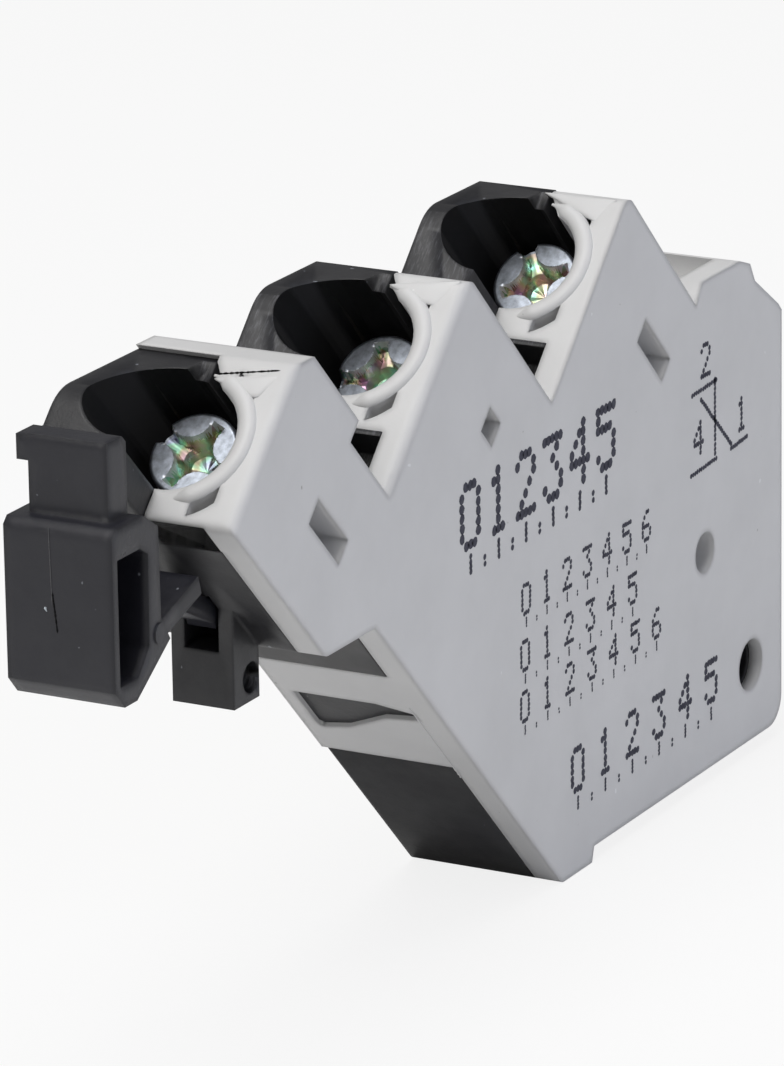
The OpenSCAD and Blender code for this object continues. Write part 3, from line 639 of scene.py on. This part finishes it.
# The driver recess of a screw, in millimetres.
LAND_R = 1.36  # radius of the circles that bound the four lands
LAND_AT = 2.5  # from the axis to the middle of such a circle
LAND_WALL = 0.14  # run of a land's wall
WING = 2.15  # reach of the arms along y
WING_WALL = 0.12  # run of the wall at their ends
CONE = 0.22  # slope of the floor towards the middle
FOLD = 0.16  # rise of the floor's folds for each millimetre from the axis
PIT_R = 1.15  # radius of the deeper middle
PIT_WALL = 0.25  # run of its wall


def recess_depth(x, y, slot_depth, cross_depth):
    """Depth of the driver recess at x, y, in millimetres.

    Four lens-shaped lands stay at the top: the parts of the head inside circles whose middles
    lie midway between the arms. Elsewhere the floor is a shallow cone with eight folds and a
    deeper middle. The arms along x run out through the rim as the slot, and those along y end
    at the wing's reach.
    """
    off = LAND_AT / ROOT2
    apart = np.hypot(np.abs(x) - off, np.abs(y) - off)
    clear = np.clip((apart - LAND_R) / LAND_WALL, 0, 1)
    away = np.hypot(x, y)
    fold = FOLD * np.abs(((np.arctan2(y, x) / (np.pi / 4) + 0.5) % 1.0) - 0.5)
    pit = 0.5 * cross_depth * np.clip((PIT_R - away) / PIT_WALL, 0, 1)
    floor = slot_depth + pit + fold * away + CONE * (WING - away)
    closed = np.clip((WING - np.abs(y)) / WING_WALL, 0, 1)
    return clear * closed * floor


def turned(radius, height, angle):
    """Rings round an axis: radius times cosine, radius times sine, and the height."""
    x, y, z = np.broadcast_arrays(radius * np.cos(angle), radius * np.sin(angle), height)
    return np.stack([x, y, z], axis=-1)


def screw_rings(slot_depth, cross_depth, head_r=2.62, head_h=1.6, shank=6.2, thread_r=1.5,
                pitch=0.5, turns=120, corner=0.22, chamfer=0.12, thread_h=0.26):
    """Rings of a screw about its axis, from the middle of the head to the tip of the thread.

    Top: height = minus the recess depth, on rings that grow to the head's edge, which turns
    down on a quarter round. Side and underside: straight. Thread: radius falls from the crest
    to the root and back once for each pitch, and the phase runs once round with the angle.
    """
    angle = np.linspace(0, 2 * np.pi, turns, endpoint=False)

    def sunk(radius):
        """Height of the head's top on rings of a radius."""
        x, y = radius * np.cos(angle), radius * np.sin(angle)
        return -recess_depth(x, y, slot_depth, cross_depth)

    top_r = np.concatenate([[0.02], np.linspace(0.08, head_r - corner, 60)])[:, None]
    bend = np.linspace(0, np.pi / 2, 5)[1:, None]
    edge_r = head_r - corner + corner * np.sin(bend)
    edge_z = np.minimum(-corner * (1 - np.cos(bend)), sunk(edge_r))
    side_r = np.array([head_r, head_r, head_r - chamfer, thread_r])[:, None]
    side_z = np.array([-slot_depth - 0.15, -head_h + chamfer, -head_h, -head_h])[:, None]
    z = np.linspace(-head_h, -head_h - shank, int(shank / pitch * 8))[:, None]
    phase = (z / pitch - angle / (2 * np.pi)) % 1.0
    taper = 0.72 + 0.28 * np.clip((z + head_h + shank) / 0.6, 0, 1)
    thread = (thread_r - thread_h * np.abs(2 * phase - 1)) * taper
    return np.concatenate([turned(top_r, sunk(top_r), angle), turned(edge_r, edge_z, angle),
                           turned(side_r, side_z, angle), turned(thread, z, angle)])


def capped(rings):
    """The points of rings with a middle point at both ends, and the faces that close them."""
    rows, turns = rings.shape[:2]
    flat = rings.reshape(-1, 3)
    total = rows * turns
    k = np.arange(turns)
    after = (k + 1) % turns
    first = np.stack([np.full(turns, total), k, after], axis=-1)
    last = np.stack([np.full(turns, total + 1), total - turns + after, total - turns + k], axis=-1)
    caps = np.stack([first, last], axis=1).reshape(-1, 3)
    middles = [flat[:turns].mean(0), flat[-turns:].mean(0)]
    walls = grid_faces(rows, turns)[:, ::-1]
    return np.concatenate([flat, middles]), walls.tolist() + caps.tolist()


SCREW_TURN = {1: 66.0, 2: 105.0, 3: 30.0}  # how far each recess is turned, in degrees
TOP_ROWS = 64  # rows of faces on the top of a screw's head, with its rounded edge
ZONES = (  # material, least and greatest depth under the top, and reach from the axis
    (1, 0.06, 3.0, 2.45),  # the film on the recess's walls and floor
    (2, 0.02, 0.42, 2.36),  # the burr along its upper edges
)


class ALARM_OT_screws(bpy.types.Operator):
    """Makes the three terminal screws with their recesses and threads"""

    bl_idname = "alarm.screws"
    bl_label = "Terminal screws"

    def execute(self, context):
        sizes, colours = context.scene.alarm_sizes, context.scene.alarm_colours
        zinc = metal_finish("zinc_plated_head", tuple(colours.zinc), 0.36, 2400.0, 0.5)
        film = passivated_finish()
        burr = metal_finish("zinc_burr", (0.92, 0.94, 0.98), 0.5, 2400.0, 0.8)
        rings = screw_rings(sizes.slot_depth / MM, sizes.cross_depth / MM)
        for i in WELLS:
            spin = math.radians(SCREW_TURN[i])
            across = rings[..., 0] * math.cos(spin) - rings[..., 1] * math.sin(spin)
            y = rings[..., 0] * math.sin(spin) + rings[..., 1] * math.cos(spin)
            head_c = MOUTH_C[i] - HEAD_DROP[i]
            placed = slant(WELL_S[i] + across, head_c + rings[..., 2], WELL_Y + y)
            points, faces = capped(put(placed))
            piece = add_piece("screw_%d" % i, points, faces, zinc)
            mesh = piece.data
            mesh.materials.append(film)
            mesh.materials.append(burr)
            middle = np.zeros(len(mesh.polygons) * 3)
            mesh.polygons.foreach_get("center", middle)
            s, c, y = slanted(middle.reshape(-1, 3)).T
            depth = head_c - c
            away = np.hypot(s - WELL_S[i], y - WELL_Y)
            top = np.arange(len(away)) < TOP_ROWS * rings.shape[1]
            index = np.zeros(len(away), np.int32)
            for material, least, most, reach in ZONES:
                index[top & (depth > least) & (depth < most) & (away < reach)] = material
            mesh.polygons.foreach_set("material_index", index)
            mesh.set_sharp_from_angle(angle=math.radians(32))
            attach(piece, "screw_%d" % i)
            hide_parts("terminal_screw_%d" % i)
        return {"FINISHED"}


DOT_STEP = 0.85  # from one dot of a line to the next, over a dot's width
DIGIT_SLIM = 0.86  # a digit's column over its row
DIGIT_DOT = 1.12  # a digit's dot over its row
LONG_TICK, SHORT_TICK, TICK_DOT = 0.26, 0.12, 0.11  # over the height of a ruler's numbers
NUMBERS_AT = 0.47  # their foot above the ruler's own


def dot_line(start, end, width):
    """Centres and width of evenly spaced dots from one point of the face to another."""
    start, end = np.asarray(start, float), np.asarray(end, float)
    count = max(2, int(round(np.linalg.norm(end - start) / (DOT_STEP * width))) + 1)
    line = start + (end - start) * np.linspace(0, 1, count)[:, None]
    return np.column_stack([line, np.full(count, width)])


DIGITS = {  # rows of each digit from the top, the dots of a row as the bits of a number
    "0": (14, 17, 17, 17, 17, 17, 14), "1": (4, 12, 4, 4, 4, 4, 14),
    "2": (14, 17, 1, 2, 4, 8, 31), "3": (31, 2, 4, 2, 1, 17, 14),
    "4": (2, 6, 10, 18, 31, 2, 2), "5": (31, 16, 30, 1, 1, 17, 14),
    "6": (6, 8, 16, 30, 17, 17, 14),
}


def digit_dots(mark, corner, tall):
    """Dots of one plain digit, whose grid of 5 by 7 stands on its lower left corner."""
    step = tall / 6.0
    rows = np.array(DIGITS[mark])[:, None]
    row, column = np.nonzero(rows >> np.arange(5) & 1)
    cells = np.stack([4 - column, 6 - row], axis=-1)
    places = np.asarray(corner, float) + cells * (step * DIGIT_SLIM, step)
    return np.column_stack([places, np.full(len(places), step * DIGIT_DOT)])


def ruler(left, right, low, tall, top):
    """Dots of a plain ruler from 0 up to a top number: ticks below, the numbers above them."""
    marks = []
    step = (right - left) / top
    half = tall / 6.0 * DIGIT_SLIM * 2
    for k in range(top * 2 + 1):
        x = left + k * step / 2
        reach = tall * (LONG_TICK if k % 2 == 0 else SHORT_TICK)
        marks.append(dot_line((x, low), (x, low + reach), tall * TICK_DOT))
        if k % 2 == 0:
            marks.append(digit_dots(str(k // 2), (x - half, low + tall * NUMBERS_AT), tall))
    return np.concatenate(marks)


def dot_outlines(dots, seed=7, corners=8, shift=0.012, uneven=0.06, proud=0.008):
    """Corners of the printed dots, just proud of the face.

    Each dot is a ring about its centre: the centre is shifted and each corner's radius
    stretched by a share drawn at random.
    """
    draw = np.random.default_rng(seed)
    centres = dots[:, :2] + draw.normal(0, shift, (len(dots), 2))
    angle = np.linspace(0, 2 * np.pi, corners, endpoint=False)
    radius = dots[:, 2, None] / 2 * (1 + draw.normal(0, uneven, (len(dots), corners)))
    x = centres[:, 0, None] + radius * np.cos(angle)
    z = centres[:, 1, None] + radius * np.sin(angle)
    return np.stack([x, np.full_like(x, -proud), z], axis=-1)


SYMBOL_LINES = (  # start and end of each line, as x and z
    ((-9.46, 19.9), (-9.46, 24.6)), ((-12.6, 24.35), (-9.3, 24.5)),
    ((-12.8, 19.35), (-9.3, 19.55)), ((-11.4, 23.8), (-7.2, 19.9)), ((-7.2, 19.6), (-5.0, 19.8)),
)
SYMBOL_DIGITS = (("2", (-11.3, 25.2)), ("4", (-12.3, 20.5)), ("1", (-6.3, 20.5)))
SYMBOL_TALL = 1.9
SCALES = (  # left and right end, foot, height of the numbers, and top number
    (-41.4, -24.2, 21.5, 3.5, 5), (-34.6, -18.9, 16.3, 1.7, 6), (-34.8, -20.8, 12.9, 1.7, 5),
    (-34.9, -17.6, 9.8, 1.7, 6), (-28.2, -10.1, 3.1, 2.5, 5),
)


class ALARM_OT_print(bpy.types.Operator):
    """Prints the contact symbol, its plain terminal numbers and plain scales on the cover"""

    bl_idname = "alarm.print_marks"
    bl_label = "Printed marks"

    def execute(self, context):
        sizes, colours = context.scene.alarm_sizes, context.scene.alarm_colours
        ink = ink_finish(tuple(colours.ink))
        width = sizes.ink_dot / MM
        symbol = [dot_line(start, end, width) for start, end in SYMBOL_LINES]
        symbol += [digit_dots(mark, corner, SYMBOL_TALL) for mark, corner in SYMBOL_DIGITS]
        scales = [ruler(*scale) for scale in SCALES]
        for name, dots in (("contact_symbol", symbol), ("printed_scales", scales)):
            rings = dot_outlines(np.concatenate(dots))
            faces = np.arange(rings.shape[0] * rings.shape[1]).reshape(rings.shape[:2])
            piece = add_piece(name, put(rings), faces, ink, smooth=False)
            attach(piece, "housing")
        return {"FINISHED"}


class ALARM_OT_inner(bpy.types.Operator):
    """Gives the parts inside their metal finishes"""

    bl_idname = "alarm.inner_parts"
    bl_label = "Inner parts"

    def execute(self, context):
        plate = metal_finish("zinc_plated_clamp", (0.60, 0.61, 0.62), 0.34, 1200.0)
        steel = metal_finish("spring_steel", (0.58, 0.59, 0.60), 0.24, 1500.0)
        brass = metal_finish("brass_strip", (0.78, 0.60, 0.28), 0.30, 900.0)
        silver = metal_finish("silver_contact", (0.86, 0.86, 0.84), 0.30, 1500.0)
        bronze = metal_finish("bronze_arm", (0.74, 0.50, 0.30), 0.28, 1000.0)
        finishes = (
            (plate, ("clamp_plate", "terminal_nut")),
            (steel, ("lever_pin", "lever_spring", "arm_pin")),
            (brass, ("break_terminal", "make_terminal", "common_terminal")),
            (silver, ("break_contact", "make_contact", "moving_contact")),
            (bronze, ("contact_arm",)),
        )
        for finish, starts in finishes:
            for name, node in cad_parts.items():
                if name.startswith(starts):
                    node.data.materials.clear()
                    node.data.materials.append(finish)
        return {"FINISHED"}


AZIMUTH, ELEVATION, ROLL = (math.radians(v) for v in (-61.52, 17.257, -0.921))
FOCAL = 7127.5  # focal length in pixels of a picture of this width:
PICTURE_WIDTH = 784.0
CAMERA_AT = (-383.12, -180.32, 143.91)
LAMPS = (  # name, place from the module's middle in metres, watts, width, depth, colour
    ("left_window", (-0.48, 0.04, 0.50), 1.6, 0.5, 0.45, (1.0, 0.98, 0.95)),
    ("top_box", (-0.14, 0.05, 0.68), 3.1, 0.5, 0.5, (1.0, 0.995, 0.98)),
    ("front_fill", (0.12, -0.75, 0.22), 1.8, 0.6, 0.6, (0.78, 0.83, 1.0)),
)
MIDDLE = (-40.0, 5.0, 19.0)
ROOM_LIGHT = 0.22
FLOOR_TONE = 0.78
FLOOR_GLOW = 0.84  # share of plain white in what the camera sees of the floor
FLOOR_REACH = 1.6


def place_camera(scene):
    """The camera at the photo's viewing angle, from its own right, up and forward directions."""
    right = np.array([math.cos(AZIMUTH), math.sin(AZIMUTH), 0.0])
    up = np.array([-math.sin(AZIMUTH) * math.sin(ELEVATION),
                   math.cos(AZIMUTH) * math.sin(ELEVATION), math.cos(ELEVATION)])
    ahead = np.cross(up, right)
    side = right * math.cos(ROLL) + up * math.sin(ROLL)
    top = -right * math.sin(ROLL) + up * math.cos(ROLL)
    camera = bpy.data.cameras.new("photo_camera")
    camera.sensor_fit, camera.sensor_width = "HORIZONTAL", 36.0
    camera.lens = FOCAL / PICTURE_WIDTH * camera.sensor_width
    camera.clip_start, camera.clip_end = 0.01, 20.0
    holder = bpy.data.objects.new("photo_camera", camera)
    scene.collection.objects.link(holder)
    turn = Matrix([[side[k], top[k], -ahead[k]] for k in range(3)]).to_4x4()
    turn.translation = Vector(put(CAMERA_AT))
    holder.matrix_world = turn
    scene.camera = holder


def hang_lamp(scene, name, place, target, power, width, depth, colour):
    """A soft rectangular studio lamp that faces a point."""
    lamp = bpy.data.lights.new(name, "AREA")
    lamp.shape = "RECTANGLE"
    lamp.energy, lamp.size, lamp.size_y = power, width, depth
    lamp.color = colour
    holder = bpy.data.objects.new(name, lamp)
    scene.collection.objects.link(holder)
    holder.location = place
    holder.rotation_euler = Vector(target - place).to_track_quat("-Z", "Y").to_euler()


def fill_room(scene):
    """Plain white surroundings: full to the camera, in mirrors dim, and dim as a light."""
    world = bpy.data.worlds.new("white_room")
    scene.world = world
    world.use_nodes = True
    tree = world.node_tree
    path = tree.nodes.new("ShaderNodeLightPath")
    seen = tree.nodes.new("ShaderNodeMath")
    seen.operation = "MAXIMUM"
    tree.links.new(path.outputs["Is Camera Ray"], seen.inputs[0])
    tree.links.new(path.outputs["Is Transmission Ray"], seen.inputs[1])
    power = tree.nodes.new("ShaderNodeMapRange")
    power.inputs["To Min"].default_value = ROOM_LIGHT
    power.inputs["To Max"].default_value = 1.0
    tree.links.new(seen.outputs[0], power.inputs["Value"])
    back = tree.nodes["Background"]
    back.inputs["Color"].default_value = (1.0, 1.0, 1.0, 1.0)
    tree.links.new(power.outputs["Result"], back.inputs["Strength"])


def lay_floor():
    """A pale plain floor just under the module, near white to the camera with its shadow kept."""
    finish = Finish("pale_floor")
    finish.set("Base Color", (FLOOR_TONE,) * 3)
    finish.set("Roughness", 0.7)
    tree = finish.tree
    glow = finish.node("ShaderNodeEmission", Color=(1.0, 1.0, 1.0), Strength=1.0)
    path = tree.nodes.new("ShaderNodeLightPath")
    share = finish.math("MULTIPLY", path.outputs["Is Camera Ray"], FLOOR_GLOW)
    blend = tree.nodes.new("ShaderNodeMixShader")
    tree.links.new(share, blend.inputs[0])
    tree.links.new(finish.shader.outputs[0], blend.inputs[1])
    tree.links.new(glow.outputs[0], blend.inputs[2])
    tree.links.new(blend.outputs[0], tree.nodes["Material Output"].inputs["Surface"])
    height = CAD_BOX[0][2] - 0.02 * MM
    corners = np.array([[-1, -1], [1, -1], [1, 1], [-1, 1]]) * FLOOR_REACH
    points = np.column_stack([corners, np.full(4, height)])
    floor = add_piece("floor", points, [range(4)], finish.material, smooth=False)


class ALARM_OT_stage(bpy.types.Operator):
    """Sets the camera, the lamps, the pale floor and the white surroundings"""

    bl_idname = "alarm.stage"
    bl_label = "Stage"

    def execute(self, context):
        scene = context.scene
        place_camera(scene)
        middle = put(MIDDLE)
        for name, place, power, width, depth, colour in LAMPS:
            hang_lamp(scene, name, middle + place, middle, power, width, depth, colour)
        fill_room(scene)
        lay_floor()
        scene.view_settings.view_transform = "Standard"
        return {"FINISHED"}


class ALARM_PT_panel(bpy.types.Panel):
    """Lists the sizes, the colours and the pieces"""

    bl_idname = "ALARM_PT_panel"
    bl_label = "Alarm contact"
    bl_space_type = "VIEW_3D"
    bl_region_type = "UI"
    bl_category = "Alarm contact"

    def draw(self, context):
        for group in (context.scene.alarm_sizes, context.scene.alarm_colours):
            box = self.layout.box()
            for key in group.__annotations__:
                box.prop(group, key)
        for operator in PIECES:
            self.layout.operator(operator.bl_idname)


PIECES = (ALARM_OT_cover, ALARM_OT_cover_details, ALARM_OT_shell, ALARM_OT_lever,
          ALARM_OT_lever_details, ALARM_OT_screws, ALARM_OT_print, ALARM_OT_inner, ALARM_OT_stage)
CLASSES = (AlarmSizes, AlarmColours, *PIECES, ALARM_PT_panel)


def register():
    for entry in CLASSES:
        bpy.utils.register_class(entry)
    bpy.types.Scene.alarm_sizes = PointerProperty(type=AlarmSizes)
    bpy.types.Scene.alarm_colours = PointerProperty(type=AlarmColours)


def unregister():
    del bpy.types.Scene.alarm_sizes
    del bpy.types.Scene.alarm_colours
    for entry in reversed(CLASSES):
        bpy.utils.unregister_class(entry)


def main():
    register()
    bpy.ops.alarm.cover()
    bpy.ops.alarm.cover_details()
    bpy.ops.alarm.shell()
    bpy.ops.alarm.lever()
    bpy.ops.alarm.lever_details()
    bpy.ops.alarm.screws()
    bpy.ops.alarm.print_marks()
    bpy.ops.alarm.inner_parts()
    bpy.ops.alarm.stage()


if __name__ == "__main__":
    main()
